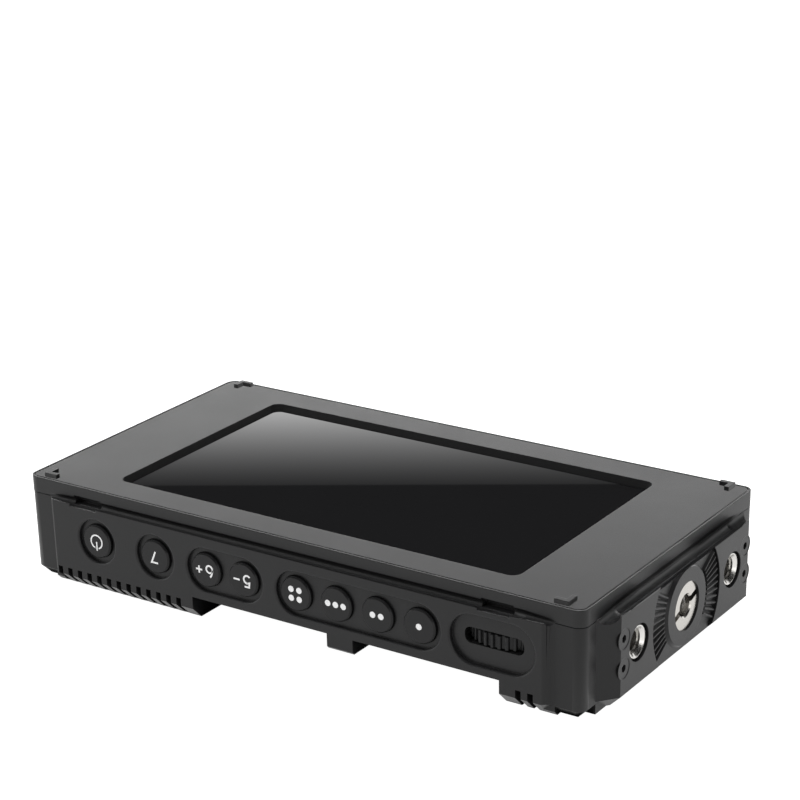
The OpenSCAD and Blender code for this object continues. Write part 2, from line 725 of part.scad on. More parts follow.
module case_screws() {
  color([0.15, 0.15, 0.15]) for (i = [-1, 1], j = [-1, 1]) translate([i * cscr_x, j * cscr_y, 0])
    difference() {
      union() {
        translate([0, 0, 0.5]) cylinder(r = cscr_r, h = 1.6);
        translate([0, 0, 2.1 - e]) cylinder(r = cscr_s, h = case_h + 2.2 - 2.1);
      }
      translate([0, 0, -1]) cylinder(r = 0.75, h = 2.5, $fn = 6);
    }
}
module button(i) {
  on_top_edge(btn_xs[i], btn_z, 0) {
    translate([0, 0, flange_y - e]) cylinder(r = btn_r, h = mid_y - 0.35 - flange_y + e);
    translate([0, 0, mid_y - 0.35 - e]) cylinder(r1 = btn_r, r2 = btn_r - 0.35, h = 0.35 + e);
    translate([0, 0, flange_y - flange_t]) cylinder(r = flange_r, h = flange_t);
    translate([0, 0, switch_y - 0.7]) cylinder(r = stem_r, h = flange_y - switch_y);
  }
}
module power_button() { color([0.2, 0.2, 0.2]) button(0); }
module function_button() { color([0.2, 0.2, 0.2]) button(1); }
module plus_button() { color([0.2, 0.2, 0.2]) button(2); }
module minus_button() { color([0.2, 0.2, 0.2]) button(3); }
module four_dot_button() { color([0.2, 0.2, 0.2]) button(4); }
module three_dot_button() { color([0.2, 0.2, 0.2]) button(5); }
module two_dot_button() { color([0.2, 0.2, 0.2]) button(6); }
module one_dot_button() { color([0.2, 0.2, 0.2]) button(7); }
module button_board() {
  x0 = wheel_at + wheel_r + 1.2;
  color([0.05, 0.3, 0.16]) translate([x0, bboard_y - bboard_t, ceil_z + 0.8])
    cube([btn_xs[0] + 5.5 - x0, bboard_t, board_z - ceil_z - 0.8]);
}
module tact_switches() {
  color([0.12, 0.12, 0.12]) for (x = btn_xs) difference() {
    translate([x - 3, bboard_y, btn_z - 3]) cube([6, switch_t, 6]);
    on_top_edge(x, btn_z, switch_y - 1.45) cylinder(r = stem_r + 0.12, h = 3);
  }
}
module thumb_wheel() {
  r0 = wheel_r - wheel_tooth;
  a = 360 / wheel_n;
  tooth = [[r0, 0], [r0, 0.42], [wheel_r - 0.12, 0.5], [wheel_r, 0.6], [wheel_r, 0.82],
    [wheel_r - 0.12, 0.92]];
  color([0.22, 0.22, 0.22]) translate([wheel_at, wheel_y, wheel_z - wheel_t / 2]) difference() {
    linear_extrude(wheel_t) polygon([for (i = [0:wheel_n - 1], p = tooth)
      p[0] * [cos(a * (i + p[1])), sin(a * (i + p[1]))]]);
    translate([0, 0, -1]) cylinder(r = axle_r + run_gap, h = wheel_t + 2);
    for (z = [-1, wheel_t - 0.6]) translate([0, 0, z]) difference() {
      cylinder(r = wheel_r - 2, h = 1.6);
      translate([0, 0, -1]) cylinder(r = 3, h = 4);
    }
  }
}
module wheel_axle() {
  color([0.7, 0.7, 0.72]) translate([wheel_at, wheel_y, boss_top - 3.5])
    cylinder(r = axle_r, h = board_z - 0.1 - boss_top + 3.5);
}
module wheel_encoder() {
  color([0.1, 0.1, 0.1]) translate([wheel_at, wheel_y, enc_z]) difference() {
    cylinder(r = encoder_r, h = board_z - enc_z);
    translate([0, 0, -1]) cylinder(r = axle_r, h = 4);
  }
}
module insert_bottom() { color([0.75, 0.74, 0.72]) on_bottom_edge(0, ins_z) insert_piece(); }
module insert_right() { color([0.75, 0.74, 0.72]) on_side(1, 0, ins_z) rotate([0, 0, 90]) insert_piece(); }
module insert_left() { color([0.75, 0.74, 0.72]) on_side(-1, 0, ins_z) rotate([0, 0, 90]) insert_piece(); }
module hub(len) {
  difference() {
    children();
    translate([0, 0, -20]) cylinder(r = ins_body_r + fit, h = 40);
  }
}
module bracket_bottom() {
  color([0.6, 0.6, 0.62]) on_bottom_edge(0, ins_z, -cav_y) hub(hub_l) {
    translate([-brk_w / 2, brk_z - ins_z, -brk_t]) cube([brk_w, board_z - 0.3 - brk_z, brk_t]);
    translate([0, 0, -hub_l]) cylinder(r = ins_body_r + hub_t, h = hub_l);
  }
}
module side_bracket(s) {
  h = cscr_y - post_r - 0.2;
  color([0.6, 0.6, 0.62]) difference() {
    on_side(s, 0, ins_z, cav_x) hub(hub_l) {
      translate([sbrk_z - ins_z, -h, -brk_t]) cube([sbrk_w, 2 * h, brk_t]);
      translate([0, 0, -hub_l]) cylinder(r = ins_body_r + shub_t, h = hub_l);
    }
    for (j = [-1, 1]) {
      on_side(s, j * bush_y, bush_z) translate([0, 0, -20]) cylinder(r = bush_r + fit, h = 20);
      for (z = sscr_zs) on_side(s, j * sscr_y, z) translate([0, 0, -20])
        cylinder(r = sscr_s + fit, h = 20);
    }
  }
}
module bracket_right() { side_bracket(1); }
module bracket_left() { side_bracket(-1); }
module locating_bushes() {
  color([0.8, 0.8, 0.8]) for (s = [-1, 1], j = [-1, 1]) on_side(s, j * bush_y, bush_z)
    translate([0, 0, -bush_sink]) difference() {
      translate([0, 0, -8]) cylinder(r = bush_r, h = 8);
      translate([0, 0, -bush_bore_l]) cylinder(r = bush_bore, h = 10);
      translate([0, 0, -bush_step]) cylinder(r = bush_bore + 0.4, h = bush_step);
      translate([0, 0, -0.75]) cylinder(r1 = bush_bore + 0.4, r2 = bush_r - 0.25, h = 0.77);
    }
}
module side_screws() {
  color([0.14, 0.14, 0.14]) for (s = [-1, 1], j = [-1, 1], z = sscr_zs)
    on_side(s, j * sscr_y, z) csk_screw(8.5);
}
// socket outline in x and z, grown outward by g
module socket_2d(g) {
  a = sock_w / 2 + g;
  b = sock_w / 2 - 1.9 + g * 0.7;
  z0 = sock_z - g;
  z1 = sock_z + sock_h * 0.6 + g * 0.4;
  z2 = sock_z + sock_h + g;
  polygon([[-a + 0.5, z0], [a - 0.5, z0], [a, z0 + 0.5], [a, z1], [b, z2], [-b, z2], [-a, z1],
    [-a, z0 + 0.5]]);
}
module hdmi_shell() {
  color([0.75, 0.68, 0.5]) translate([sock_at, 0, 0]) rotate([90, 0, 0]) difference() {
    translate([0, 0, -sock_y - sock_l]) linear_extrude(sock_l) socket_2d(0);
    translate([0, 0, -sock_y - sock_l + sock_t]) linear_extrude(sock_l) socket_2d(-sock_t);
  }
}
module hdmi_tongue() {
  color([0.05, 0.05, 0.05]) translate([sock_at - tongue_w / 2, sock_y + tip_l, sock_z + tongue_z])
    cube([tongue_w, sock_l - sock_t - tip_l, tongue_t]);
}
module heat_sink() {
  p = row_k * gril_p;
  x0 = row_k * (gril_x0 - gril_p / 2) - fin_t / 2;
  y0 = -cav_y + 0.4;
  color([0.5, 0.5, 0.52]) {
    translate([x0, y0, board_z - sink_t]) cube([(sink_n - 1) * p + fin_t, fin_d, sink_t]);
    for (i = [0:sink_n - 1]) translate([x0 + p * i, y0, fin_z]) cube([fin_t, fin_d, board_z - fin_z - 1]);
  }
}
module blade(c, k) {
  translate([c + k * blade_p - blade_t / 2, bay_y0 + 0.6, bay_h - blade_z])
    cube([blade_t, cont_d - 0.6 + blade_l, blade_h]);
}
module contact_block(c) {
  color([0.1, 0.1, 0.1]) difference() {
    translate([c - cont_w / 2, bay_y0, bay_h - cont_h]) cube([cont_w, cont_d, cont_h]);
    for (k = [-1, 0, 1]) blade(c, k);
  }
}
module contact_block_1() { contact_block(bay_c1); }
module contact_block_2() { contact_block(bay_c2); }
module contact_blades() {
  color([0.83, 0.68, 0.35]) for (c = [bay_c1, bay_c2], k = [-1, 0, 1]) blade(c, k);
}
module battery_latch(c) {
  color([0.25, 0.25, 0.25]) translate([c, latch_y, 0]) {
    translate([-latch_w / 2, -latch_d / 2, bay_h - latch_out])
      cube([latch_w, latch_d, latch_out + bay_wall + 0.1]);
    translate([-latch_w / 2 - 1, -latch_d / 2 - 1, ceil_z + 0.05]) cube([latch_w + 2, latch_d + 2, 1.2]);
  }
}
module battery_latch_1() { battery_latch(bay_c1); }
module battery_latch_2() { battery_latch(bay_c2); }

front_bezel();
screen_glass();
lcd_panel();
backlight_frame();
main_board();
board_screws();
rear_housing();
case_screws();
power_button();
function_button();
plus_button();
minus_button();
four_dot_button();
three_dot_button();
two_dot_button();
one_dot_button();
button_board();
tact_switches();
thumb_wheel();
wheel_axle();
wheel_encoder();
insert_bottom();
insert_right();
insert_left();
bracket_bottom();
bracket_right();
bracket_left();
locating_bushes();
side_screws();
hdmi_shell();
hdmi_tongue();
heat_sink();
contact_block_1();
contact_block_2();
contact_blades();
battery_latch_1();
battery_latch_2();
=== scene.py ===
import bpy, bmesh, math
from mathutils import Vector, Matrix, Euler


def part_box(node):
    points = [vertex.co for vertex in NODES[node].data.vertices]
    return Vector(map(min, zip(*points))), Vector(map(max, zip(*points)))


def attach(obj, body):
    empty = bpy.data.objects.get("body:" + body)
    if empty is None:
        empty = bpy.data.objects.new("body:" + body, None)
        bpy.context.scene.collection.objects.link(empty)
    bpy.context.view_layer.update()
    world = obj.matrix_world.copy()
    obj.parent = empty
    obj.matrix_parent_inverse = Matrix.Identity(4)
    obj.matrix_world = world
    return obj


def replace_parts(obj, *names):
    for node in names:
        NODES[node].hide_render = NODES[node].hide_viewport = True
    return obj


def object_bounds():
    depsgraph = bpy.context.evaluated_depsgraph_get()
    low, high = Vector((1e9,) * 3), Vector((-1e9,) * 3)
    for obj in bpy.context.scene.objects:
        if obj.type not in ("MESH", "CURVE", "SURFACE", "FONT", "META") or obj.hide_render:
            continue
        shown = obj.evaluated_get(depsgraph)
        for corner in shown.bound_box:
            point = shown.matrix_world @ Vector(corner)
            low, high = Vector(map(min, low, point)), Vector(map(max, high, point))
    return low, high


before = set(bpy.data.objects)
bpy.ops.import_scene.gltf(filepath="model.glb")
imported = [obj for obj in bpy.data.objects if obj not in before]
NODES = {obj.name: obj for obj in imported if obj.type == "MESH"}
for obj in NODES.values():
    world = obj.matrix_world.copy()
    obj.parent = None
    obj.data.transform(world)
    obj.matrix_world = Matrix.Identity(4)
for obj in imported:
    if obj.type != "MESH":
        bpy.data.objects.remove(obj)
cad_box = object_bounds()
scene = bpy.context.scene

# Sizes that repeat values of part.scad are in millimetres, and MM turns them into metres.
MM = 0.001
MID_X, MID_Y = 80.0, 42.06      # reach of the middle faces
EDGE = 3.0                      # chamfer of the lower edge
INS_X, INS_Y, INS_Z = 79.6, 41.66, 12.4     # outer ends of the threaded inserts
BTN_Z = 13.8                    # middle of the button caps
SOCK_X = -52                    # middle of the socket
WELD = 1e-6                     # points nearer than this are one point


# ---------------------------------------------------------------- materials
def node_mat(name):
    """New material with one Principled shader: (material, node tree, shader)."""
    m = bpy.data.materials.new(name)
    m.use_nodes = True
    nt = m.node_tree
    nt.nodes.clear()
    out = nt.nodes.new("ShaderNodeOutputMaterial")
    b = nt.nodes.new("ShaderNodeBsdfPrincipled")
    nt.links.new(b.outputs[0], out.inputs[0])
    return m, nt, b


def finish_mat(name, col, rough, metallic=0.0, spec=0.5, grain=0.0, grain_scale=4000.0, vary=0.06,
               rough_vary=0.05, edge=0.0, aniso=None):
    """Painted, moulded or metal finish: tone and gloss vary softly, a fine grain lifts the surface."""
    m, nt, b = node_mat(name)
    new, link = nt.nodes.new, nt.links.new
    tc = new("ShaderNodeTexCoord")
    big = new("ShaderNodeTexNoise")
    big.inputs["Scale"].default_value = 60.0
    big.inputs["Detail"].default_value = 4.0
    link(tc.outputs["Object"], big.inputs["Vector"])
    ramp = new("ShaderNodeMapRange")
    ramp.inputs["To Min"].default_value = 1.0 - vary
    ramp.inputs["To Max"].default_value = 1.0 + vary
    link(big.outputs[0], ramp.inputs["Value"])
    mul = new("ShaderNodeMix")
    mul.data_type = "RGBA"
    mul.blend_type = "MULTIPLY"
    mul.inputs[0].default_value = 1.0
    mul.inputs[6].default_value = (*col, 1)
    link(ramp.outputs[0], mul.inputs[7])
    link(mul.outputs[2], b.inputs["Base Color"])
    rr = new("ShaderNodeMapRange")
    rr.inputs["To Min"].default_value = max(0.0, rough - rough_vary)
    rr.inputs["To Max"].default_value = min(1.0, rough + rough_vary)
    link(big.outputs[0], rr.inputs["Value"])
    link(rr.outputs[0], b.inputs["Roughness"])
    b.inputs["Metallic"].default_value = metallic
    b.inputs["Specular IOR Level"].default_value = spec
    b.inputs["IOR"].default_value = 1.5
    normal = None
    if edge > 0:
        bev = new("ShaderNodeBevel")
        bev.samples = 4
        bev.inputs["Radius"].default_value = edge
        normal = bev.outputs[0]
    if grain > 0:
        fine = new("ShaderNodeTexNoise")
        fine.inputs["Scale"].default_value = grain_scale
        fine.inputs["Detail"].default_value = 2.0
        if aniso:
            mp = new("ShaderNodeMapping")
            mp.inputs["Scale"].default_value = aniso
            link(tc.outputs["Object"], mp.inputs["Vector"])
            link(mp.outputs[0], fine.inputs["Vector"])
        else:
            link(tc.outputs["Object"], fine.inputs["Vector"])
        bump = new("ShaderNodeBump")
        bump.inputs["Strength"].default_value = grain
        bump.inputs["Distance"].default_value = 0.0001
        link(fine.outputs[0], bump.inputs["Height"])
        if normal:
            link(normal, bump.inputs["Normal"])
        normal = bump.outputs[0]
    if normal:
        link(normal, b.inputs["Normal"])
    return m


def turned_mat(name, col, centre, axis):
    """Machined steel: fine rings round the axis from the lathe."""
    m, nt, b = node_mat(name)
    new, link = nt.nodes.new, nt.links.new
    tc = new("ShaderNodeTexCoord")
    sub = new("ShaderNodeVectorMath")
    sub.operation = "SUBTRACT"
    sub.inputs[1].default_value = centre
    link(tc.outputs["Object"], sub.inputs[0])
    keep = new("ShaderNodeVectorMath")
    keep.operation = "MULTIPLY"
    keep.inputs[1].default_value = [1 - abs(a) for a in axis]
    link(sub.outputs[0], keep.inputs[0])
    ln = new("ShaderNodeVectorMath")
    ln.operation = "LENGTH"
    link(keep.outputs[0], ln.inputs[0])
    nz = new("ShaderNodeTexNoise")
    nz.noise_dimensions = "1D"
    nz.inputs["Scale"].default_value = 9000.0
    nz.inputs["Detail"].default_value = 3.0
    link(ln.outputs["Value"], nz.inputs["W"])
    bump = new("ShaderNodeBump")
    bump.inputs["Strength"].default_value = 0.12
    bump.inputs["Distance"].default_value = 0.00005
    link(nz.outputs[0], bump.inputs["Height"])
    link(bump.outputs[0], b.inputs["Normal"])
    rr = new("ShaderNodeMapRange")
    rr.inputs["To Min"].default_value = 0.16
    rr.inputs["To Max"].default_value = 0.3
    link(nz.outputs[0], rr.inputs["Value"])
    link(rr.outputs[0], b.inputs["Roughness"])
    b.inputs["Base Color"].default_value = (*col, 1)
    b.inputs["Metallic"].default_value = 1.0
    return m


CASE = finish_mat("case_black", (0.0058, 0.0058, 0.006), 0.37, spec=0.2, grain=0.22, grain_scale=5200,
                  edge=0.00016)
PLATE = finish_mat("plate_grey", (0.0065, 0.0065, 0.0067), 0.39, spec=0.22, grain=0.18, grain_scale=5200,
                   edge=0.00018)
CAP = finish_mat("button_black", (0.005, 0.005, 0.0052), 0.34, spec=0.17, grain=0.2, grain_scale=6000,
                 edge=0.00012)
DARK = finish_mat("black_plastic", (0.012, 0.012, 0.012), 0.45, spec=0.4, grain=0.2)
GLASS = finish_mat("glass_dark", (0.0058, 0.0058, 0.0061), 0.012, spec=0.5, vary=0.03, rough_vary=0.004)
PANEL = finish_mat("panel_dark", (0.02, 0.02, 0.022), 0.2, vary=0.04)
WHITE = finish_mat("light_white", (0.6, 0.6, 0.58), 0.5, grain=0.15)
BOARD = finish_mat("board_green", (0.01, 0.07, 0.03), 0.35, vary=0.15, grain=0.4, grain_scale=1500)
ZINC = finish_mat("zinc", (0.55, 0.55, 0.57), 0.35, metallic=0.9, vary=0.12, grain=0.2, grain_scale=2500)
SCREW = finish_mat("black_screw", (0.011, 0.011, 0.0115), 0.36, spec=0.2, grain=0.25, edge=0.00012)
SHELL = finish_mat("socket_shell", (0.16, 0.16, 0.165), 0.3, metallic=1.0, grain=0.1, vary=0.1)
ALU = finish_mat("sink_alu", (0.18, 0.18, 0.185), 0.45, metallic=0.8, grain=0.3, grain_scale=2600,
                 aniso=(1, 0.05, 1))
GOLD = finish_mat("contact_gold", (0.85, 0.6, 0.25), 0.25, metallic=1.0, grain=0.1)
BUSH = finish_mat("bush_steel", (0.5, 0.49, 0.47), 0.26, metallic=1.0, grain=0.15, grain_scale=3000)
# near-black rim colour: painted shade of the gap round each side screw head
RIM_SHADE = finish_mat("ring_black", (0.004, 0.004, 0.004), 0.35, spec=0.2, vary=0.1)
STEEL = finish_mat("steel", (0.47, 0.46, 0.445), 0.25, metallic=1.0, grain=0.15, grain_scale=3000)
PRINT = finish_mat("print_white", (0.52, 0.52, 0.52), 0.45, vary=0.03, grain=0.05)
TURNED = (0.40, 0.385, 0.36)

# each insert's outward axis and the middle of its outer end
INSERTS = {"insert_bottom": ((0, -1, 0), (0, -INS_Y * MM, INS_Z * MM)),
           "insert_right": ((1, 0, 0), (INS_X * MM, 0, INS_Z * MM)),
           "insert_left": ((-1, 0, 0), (-INS_X * MM, 0, INS_Z * MM))}
by_node = {
    "front_bezel": PLATE, "screen_glass": GLASS, "lcd_panel": PANEL, "backlight_frame": WHITE,
    "main_board": BOARD, "board_screws": ZINC, "rear_housing": CASE, "case_screws": SCREW,
    "button_board": BOARD, "tact_switches": DARK, "thumb_wheel": CAP, "wheel_axle": STEEL,
    "wheel_encoder": DARK, "bracket_bottom": ZINC, "bracket_right": ZINC, "bracket_left": ZINC,
    "locating_bushes": BUSH, "side_screws": SCREW, "hdmi_shell": SHELL, "hdmi_tongue": DARK,
    "heat_sink": ALU, "contact_block_1": DARK, "contact_block_2": DARK, "contact_blades": GOLD,
    "battery_latch_1": DARK, "battery_latch_2": DARK}
for name, (axis, end) in INSERTS.items():
    by_node[name] = turned_mat("steel_" + name, TURNED, end, axis)
for name, obj in NODES.items():
    mat = by_node.get(name, CAP)        # the button caps are the nodes that the table leaves out
    if not obj.material_slots:
        obj.data.materials.append(mat)
    for s in obj.material_slots:
        s.material = mat


# ---------------------------------------------------------------- mesh helpers
def new_mesh(name, verts, faces):
    """Closed mesh from points and faces, its normals turned outwards."""
    me = bpy.data.meshes.new(name)
    me.from_pydata(verts, [], faces)
    bm = bmesh.new()
    bm.from_mesh(me)
    bmesh.ops.recalc_face_normals(bm, faces=bm.faces)
    bm.to_mesh(me)
    bm.free()
    return me


def new_object(name, data):
    o = bpy.data.objects.new(name, data)
    scene.collection.objects.link(o)
    return o


def new_piece(name, me, mat, body):
    """Piece of the object: it rides on a CAD body and takes the given finish."""
    me.materials.clear()
    me.materials.append(mat)
    o = new_object(name, me)
    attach(o, body)
    return o


def on_circle(r, i, n):
    """Point number i of n on a circle of radius r."""
    t = 2 * math.pi * i / n
    return r * math.cos(t), r * math.sin(t)


# ---------------------------------------------------------------- legends on the button caps
class Print:
    """Flat printed marks on a cap's outer face: x runs right and y up as they are read."""

    THICK = 0.00004

    def __init__(self, centre):
        self.c = Vector(centre)
        self.verts, self.faces = [], []

    def at(self, x, y, h):
        return self.c + Vector((x * MM, h * self.THICK, -y * MM))

    def strip(self, left, right, closed=False):
        """Solid band between two rows of points."""
        n = len(left)
        b = len(self.verts)
        for (l, r) in zip(left, right):
            self.verts += [self.at(*l, 0), self.at(*l, 1), self.at(*r, 1), self.at(*r, 0)]
        for i in range(n if closed else n - 1):
            a, c = b + 4 * i, b + 4 * ((i + 1) % n)
            for k in range(4):
                self.faces.append((a + k, a + (k + 1) % 4, c + (k + 1) % 4, c + k))
        if not closed:
            self.faces.append((b, b + 1, b + 2, b + 3))
            e = b + 4 * (n - 1)
            self.faces.append((e + 3, e + 2, e + 1, e))

    def line(self, pts, w):
        """Stroke of width w along points, mitred."""
        left, right = [], []
        for i, p in enumerate(pts):
            p = Vector(p)
            before = (p - Vector(pts[i - 1])).normalized() if i else None
            after = (Vector(pts[i + 1]) - p).normalized() if i < len(pts) - 1 else None
            d = (before or Vector((0, 0))) + (after or Vector((0, 0)))
            d.normalize()
            across = Vector((-d.y, d.x))
            k = 1.0
            if before and after:
                k = 1 / max(0.5, abs(across.dot(Vector((-before.y, before.x)))))
            left.append(tuple(p + across * w / 2 * k))
            right.append(tuple(p - across * w / 2 * k))
        self.strip(left, right)

    def arc(self, x, y, r, a0, a1, n, w):
        """Stroke of width w along an arc from angle a0 to a1, in n steps."""
        an = [math.radians(a0 + (a1 - a0) * i / n) for i in range(n + 1)]
        full = abs(a1 - a0) >= 360
        if full:
            an = an[:-1]
        self.strip([(x + (r - w / 2) * math.cos(t), y + (r - w / 2) * math.sin(t)) for t in an],
                   [(x + (r + w / 2) * math.cos(t), y + (r + w / 2) * math.sin(t)) for t in an], full)

    def dot(self, x, y, r, n=28):
        b = len(self.verts)
        for h in (0, 1):
            for i in range(n):
                dx, dy = on_circle(r, i, n)
                self.verts.append(self.at(x + dx, y + dy, h))
        self.faces.append(tuple(range(b, b + n)))
        self.faces.append(tuple(range(b + n, b + 2 * n)))
        for i in range(n):
            j = (i + 1) % n
            self.faces.append((b + i, b + j, b + n + j, b + n + i))


# arcs are (x, y, radius, first angle, last angle, steps), lines are rows of points, dots are points
STROKE, DOT_R = 0.42, 0.74
LEGENDS = {
    "power_button": dict(x=54.5, w=0.36, arcs=[(0, 0, 1.68, 108, 432, 28)], lines=[[(0, 0), (0, 2.25)]]),
    "function_button": dict(x=36.8, lines=[[(-0.95, 1.4), (0.95, 1.4), (-0.3, -1.4)]]),
    "plus_button": dict(x=21.8, arcs=[(-1.2, -0.52, 0.88, 0, 360, 28), (0.75, -0.5, 2.83, 180, 138, 10)],
                        lines=[[(0.9, 0), (2.7, 0)], [(1.8, 0.9), (1.8, 0.21)], [(1.8, -0.21), (1.8, -0.9)]]),
    "minus_button": dict(x=11.0, arcs=[(-1.25, -0.45, 0.95, 100, -140, 28)],
                         lines=[[(-1.3, 0.48), (-1.9, 0.3), (-1.75, 1.4), (-0.45, 1.4)], [(0.9, 0), (2.6, 0)]]),
    "four_dot_button": dict(x=-3.7, dots=[(-1.1, -1.1), (1.1, -1.1), (-1.1, 1.1), (1.1, 1.1)]),
    "three_dot_button": dict(x=-14.73, dots=[(-2.1, 0), (0, 0), (2.1, 0)]),
    "two_dot_button": dict(x=-25.76, dots=[(-1.1, 0), (1.1, 0)]),
    "one_dot_button": dict(x=-36.79, dots=[(0, 0)])}
for name, mark in LEGENDS.items():
    pr = Print((mark["x"] * MM, MID_Y * MM, BTN_Z * MM))
    width = mark.get("w", STROKE)
    for arc in mark.get("arcs", []):
        pr.arc(*arc, width)
    for row in mark.get("lines", []):
        pr.line(row, width)
    for (x, y) in mark.get("dots", []):
        pr.dot(x, y, DOT_R)
    new_piece("print_" + name, new_mesh("print_" + name, pr.verts, pr.faces), PRINT, name)


# ---------------------------------------------------------------- threads in the inserts
THREAD_R, THREAD_T, PITCH = 2.55, 0.3, 1.27     # bore radius, ridge height and pitch
THREAD_FROM, THREAD_TO = 1.9, 7.9               # depths at which the ridge starts and ends
THREAD_STEPS = 48                               # points in one turn


def thread(name, end, axis):
    """Ridge that winds down the bore and fades out at both its ends."""
    axis = Vector(axis)
    u = axis.orthogonal().normalized()
    v = axis.cross(u)
    n = int(THREAD_STEPS * ((THREAD_TO - THREAD_FROM) / PITCH))
    verts, faces = [], []
    section = [(0.02, -0.46), (-THREAD_T, -0.08), (-THREAD_T, 0.08), (0.02, 0.46)]
    for i in range(n + 1):
        t = 2 * math.pi * i / THREAD_STEPS
        z = THREAD_FROM + PITCH * i / THREAD_STEPS
        fade = min(1.0, i / 12, (n - i) / 12)
        for (dr, dz) in section:
            r = THREAD_R + (dr if dr > 0 else dr * fade)
            verts.append(Vector(end) + (u * math.cos(t) + v * math.sin(t)) * r * MM
                         - axis * (z + dz * PITCH) * MM)
    for i in range(n):
        a, b = 4 * i, 4 * (i + 1)
        for k in range(4):
            faces.append((a + k, a + (k + 1) % 4, b + (k + 1) % 4, b + k))
    faces += [(0, 1, 2, 3), (4 * n + 3, 4 * n + 2, 4 * n + 1, 4 * n)]
    new_piece(name, new_mesh(name, verts, faces), STEEL, "monitor")


for name, (axis, end) in INSERTS.items():
    thread("thread_" + name, end, axis)


# ---------------------------------------------------------------- housing with its lower edge trimmed
def wedge(name, side):
    """Two prisms beyond the 45 degree plane of the lower edge, on the X (0) or Y (1) faces."""
    reach = (MID_X, MID_Y)[side]
    verts, faces = [], []
    for s in (-1, 1):
        b = len(verts)
        for t in (-120, 120):
            for (q, z) in ((reach - EDGE - 1, -1), (reach + 4, -1), (reach + 4, EDGE + 4)):
                p = (s * q, t, z) if side == 0 else (t, s * q, z)
                verts.append(Vector(p) * MM)
        faces += [(b, b + 1, b + 2), (b + 5, b + 4, b + 3)]
        faces += [(b + k, b + 3 + k, b + 3 + (k + 1) % 3, b + (k + 1) % 3) for k in range(3)]
    return new_object(name, new_mesh(name, verts, faces))


def welded(node):
    """A CAD node's mesh with its split points joined, to be freed by the caller."""
    bm = bmesh.new()
    bm.from_mesh(NODES[node].data)
    bmesh.ops.remove_doubles(bm, verts=bm.verts, dist=WELD)
    return bm


def trimmed(name, node, mat, body):
    """Stands for a CAD node: its own mesh, with the lower edge cut to one plane on each face."""
    me = NODES[node].data.copy()
    bm = welded(node)
    bm.to_mesh(me)
    bm.free()
    raw = new_object(name + "_raw", me)
    cutters = [wedge("cut_%d" % side, side) for side in (0, 1)]
    for c in cutters:
        mod = raw.modifiers.new(c.name, "BOOLEAN")
        mod.operation = "DIFFERENCE"
        mod.solver = "EXACT"
        mod.object = c
    bpy.context.view_layer.update()
    done = bpy.data.meshes.new_from_object(raw.evaluated_get(bpy.context.evaluated_depsgraph_get()))
    done.name = name
    for o in cutters + [raw]:
        bpy.data.objects.remove(o)
    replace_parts(new_piece(name, done, mat, body), node)


trimmed("housing_trimmed", "rear_housing", CASE, "monitor")


def sill(name, x0, x1, side):
    """Low bar that closes the lower ends of a row of vents, from x0 to x1 on the +Y or -Y face."""
    inner, outer, low, top = 36.8, MID_Y - EDGE, 0.03, 0.5
    section = [(inner, low), (outer - 0.01, low), (outer + 0.46, top), (inner, top)]
    verts = [Vector((x, side * y, z)) * MM for x in (x0, x1) for (y, z) in section]
    faces = [(3, 2, 1, 0), (4, 5, 6, 7)] + [(k, (k + 1) % 4, 4 + (k + 1) % 4, 4 + k) for k in range(4)]
    new_piece(name, new_mesh(name, verts, faces), CASE, "monitor")


sill("vent_sill_buttons", 28.6, 68.4, 1)
sill("vent_sill_socket", -66.7, -21.3, -1)


# ---------------------------------------------------------------- rims round the side screws: thin real rings, their near-black colour painted shade of the gap round each head
def loose_parts(node):
    """Middle and half size of each separate solid of a CAD node."""
    bm = welded(node)
    left = set(bm.verts)
    found = []
    while left:
        todo = [left.pop()]
        group = []
        while todo:
            v = todo.pop()
            group.append(v.co)
            for e in v.link_edges:
                w = e.other_vert(v)
                if w in left:
                    left.remove(w)
                    todo.append(w)
        lo = Vector([min(p[k] for p in group) for k in range(3)])
        hi = Vector([max(p[k] for p in group) for k in range(3)])
        found.append(((lo + hi) / 2, (hi - lo) / 2))
    bm.free()
    return sorted(found, key=lambda part: tuple(part[0]))


def rims(name, node, tube, mat, body):
    """Thin ring round the head of each screw that faces out along X."""
    verts, faces = [], []
    n, m = 40, 8
    for mid, half in loose_parts(node):
        side = 1 if mid.x > 0 else -1
        b = len(verts)
        r = half.y + tube * 0.4
        for i in range(n):
            a = 2 * math.pi * i / n
            for k in range(m):
                t = 2 * math.pi * k / m
                q = r + tube * math.cos(t)
                verts.append((mid.x + side * (half.x + tube * 0.6 * math.sin(t)), mid.y + q * math.cos(a),
                              mid.z + q * math.sin(a)))
        for i in range(n):
            for k in range(m):
                i2, k2 = (i + 1) % n, (k + 1) % m
                faces.append((b + i * m + k, b + i * m + k2, b + i2 * m + k2, b + i2 * m + k))
    o = new_piece(name, new_mesh(name, verts, faces), mat, body)
    for p in o.data.polygons:
        p.use_smooth = True


# the rings are real geometry; their near-black colour is painted shade of the gap round each head
rims("screw_rims", "side_screws", 0.16 * MM, RIM_SHADE, "monitor")


# ---------------------------------------------------------------- contacts inside the socket
def boxes(name, items, chamfer, mat, body):
    """Small chamfered blocks given as (x0, x1, y0, y1, z0, z1) in millimetres."""
    me = bpy.data.meshes.new(name)
    bm = bmesh.new()
    for (x0, x1, y0, y1, z0, z1) in items:
        part = bmesh.ops.create_cube(bm, size=1.0)["verts"]
        bmesh.ops.scale(bm, vec=Vector((x1 - x0, y1 - y0, z1 - z0)) * MM, verts=part)
        bmesh.ops.translate(bm, vec=Vector((x0 + x1, y0 + y1, z0 + z1)) * MM / 2, verts=part)
    bmesh.ops.bevel(bm, geom=bm.edges[:], offset=chamfer * MM, segments=1, affect="EDGES")
    bm.to_mesh(me)
    bm.free()
    new_piece(name, me, mat, body)


